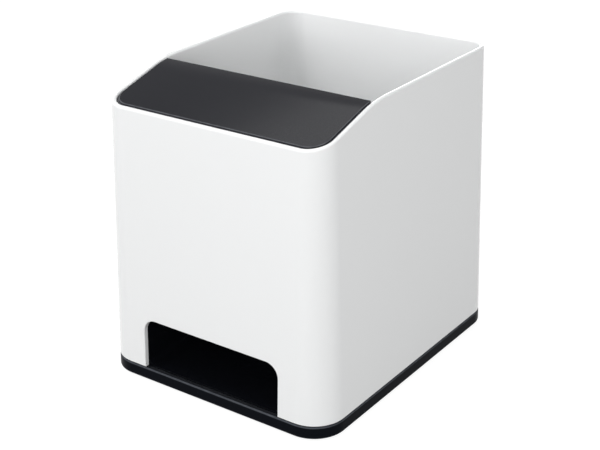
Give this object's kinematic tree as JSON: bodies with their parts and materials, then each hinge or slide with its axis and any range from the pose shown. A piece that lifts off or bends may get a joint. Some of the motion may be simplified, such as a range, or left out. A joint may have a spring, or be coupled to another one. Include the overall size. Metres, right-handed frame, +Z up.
{
  "type": "pen holder",
  "caption": "Desk pen holder with an open rear compartment, a phone slot behind a sloped dark panel, and a curved sound horn that opens in a mouth at the foot of the front.",
  "frame": {"origin": "on the desk under the middle of the body", "axes": "+X to the right seen from the front, the front with the mouth faces -Y, +Z up"},
  "size_m": [0.0884, 0.1066, 0.1019],
  "materials": {
    "white_shell": "gloss moulded white",
    "anthracite_panel": "satin moulded anthracite",
    "black_plastic": "moulded black",
    "rubber": "matt black",
    "screw_steel": "zinc plated"
  },
  "bodies": {
    "root": {"outer_shell": "white_shell", "top_panel": "anthracite_panel", "base_plate": "black_plastic", "pen_floor": "white_shell", "divider_wall": "white_shell", "phone_cradle": "black_plastic", "throat_gasket": "rubber", "horn_lower": "black_plastic", "horn_upper": "black_plastic", "horn_screw_left": "screw_steel", "horn_screw_right": "screw_steel", "base_screw_1": "screw_steel", "base_screw_2": "screw_steel", "base_screw_3": "screw_steel", "base_screw_4": "screw_steel", "foot_1": "rubber", "foot_2": "rubber", "foot_3": "rubber", "foot_4": "rubber"}
  },
  "joints": []
}
